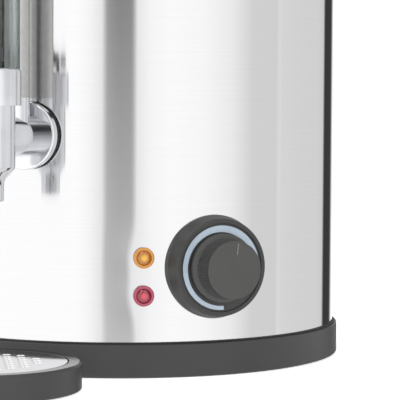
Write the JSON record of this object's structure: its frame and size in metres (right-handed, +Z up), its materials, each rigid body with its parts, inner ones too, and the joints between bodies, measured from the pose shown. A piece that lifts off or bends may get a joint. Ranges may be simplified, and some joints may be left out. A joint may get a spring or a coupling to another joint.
{
  "type": "hot water urn",
  "caption": "Round stainless hot water urn with a lift-off lid, sprung lever tap, level glass, thermostat knob, pilot lamps and a drip tray.",
  "frame": {"origin": "on the urn's axis, in the plane of the rubber foot ring that it stands on", "axes": "+Z up along the urn's axis, -Y from the axis towards the tap and the drip tray, +X to the right of somebody facing the tap"},
  "size_m": [0.321, 0.3625, 0.422],
  "materials": {
    "dark_plastic": "satin dark grey moulding",
    "knob_plastic": "satin dark grey moulding, fluted",
    "scale_print": "pale blue-grey inlay",
    "brushed_steel": "brushed round the body",
    "plain_steel": "mill finish",
    "chrome": "polished plating",
    "zinc_steel": "bright zinc plate",
    "rubber": "black, matt",
    "amber_lens": "translucent amber",
    "red_lens": "translucent red",
    "lamp_plastic": "natural nylon",
    "thermostat_case": "grey enamel",
    "copper": "bare copper",
    "aluminium": "cast",
    "element_sheath": "dull heat-resisting steel",
    "brass": "bare brass",
    "cutout_ceramic": "glazed ceramic body",
    "black_nylon": "black nylon",
    "block_plastic": "natural nylon",
    "lead_jacket": "red-brown silicone jacket",
    "glass": "clear borosilicate tube"
  },
  "bodies": {
    "urn": {"base_ring": "dark_plastic", "rim_collar": "dark_plastic", "handle_left": "dark_plastic", "handle_right": "dark_plastic", "control_bezel": "dark_plastic", "scale_inlay": "scale_print", "outer_shell": "brushed_steel", "inner_vessel": "plain_steel", "base_cover": "plain_steel", "gauge_guard": "plain_steel", "tap_body": "chrome", "tap_bonnet": "chrome", "gauge_bracket": "chrome", "gauge_cap": "chrome", "cover_screws": "zinc_steel", "clamp_rods": "zinc_steel", "rod_nuts": "zinc_steel", "handle_screws": "zinc_steel", "thermostat_screws": "zinc_steel", "gauge_bolt": "zinc_steel", "cutout_screws": "zinc_steel", "block_screws": "zinc_steel", "tap_lever_pin": "zinc_steel", "tap_spring": "zinc_steel", "lamp_clips": "zinc_steel", "foot_ring": "rubber", "shell_gasket": "rubber", "tap_seals": "rubber", "gauge_seals": "rubber", "amber_lamp_lens": "amber_lens", "red_lamp_lens": "red_lens", "lamp_bodies": "lamp_plastic", "tap_sleeve": "lamp_plastic", "thermostat_body": "thermostat_case", "thermostat_bulb": "copper", "heater_plate": "aluminium", "bulb_saddles": "aluminium", "heating_element": "element_sheath", "element_pins": "brass", "tap_back_nut": "brass", "terminal_screws": "brass", "thermal_cutout": "cutout_ceramic", "cable_gland": "black_nylon", "gland_nut": "black_nylon", "wiring": "lead_jacket", "terminal_block": "block_plastic", "gauge_glass": "glass"},
    "knob": {"thermostat_knob": "knob_plastic", "knob_pointer": "scale_print", "thermostat_spindle": "zinc_steel"},
    "lid": {"lid": "brushed_steel", "lid_knob": "dark_plastic", "lid_knob_washer": "rubber", "lid_knob_screw": "zinc_steel"},
    "lever": {"tap_lever": "dark_plastic"},
    "plunger": {"tap_plunger": "zinc_steel", "seat_cup": "rubber"},
    "tray": {"drip_tray": "dark_plastic", "tray_pads": "rubber"},
    "plate": {"drip_plate": "brushed_steel"}
  },
  "joints": [
    {"name": "thermostat_turn", "type": "hinge", "parent": "urn", "child": "knob", "pos_m": [0.09455, -0.08879, 0.0567], "axis": [0.729, -0.6845, 0], "range_deg": [-86, 184]},
    {"name": "lid_lift", "type": "slide", "parent": "urn", "child": "lid", "axis": [0, 0, 1], "range_m": [0, 0.12]},
    {"name": "tap_lever_press", "type": "hinge", "parent": "urn", "child": "lever", "pos_m": [0, -0.18, 0.164], "axis": [1, 0, 0], "range_deg": [0, 14], "stiffness_Nm_per_rad": 0.15, "springref_deg": -17.19},
    {"name": "tap_plunger_lift", "type": "slide", "parent": "urn", "child": "plunger", "axis": [0, 0, 1], "range_m": [0, 0.0043], "deforming": ["tap_spring"]},
    {"name": "drip_tray_pull", "type": "slide", "parent": "urn", "child": "tray", "axis": [0, -1, 0], "range_m": [0, 0.08]},
    {"name": "drip_plate_lift", "type": "slide", "parent": "tray", "child": "plate", "axis": [0, 0, 1], "range_m": [0, 0.06]}
  ],
  "couplings": [
    {"joint": "tap_plunger_lift", "follows": "tap_lever_press", "m_per_rad": 0.0172}
  ]
}
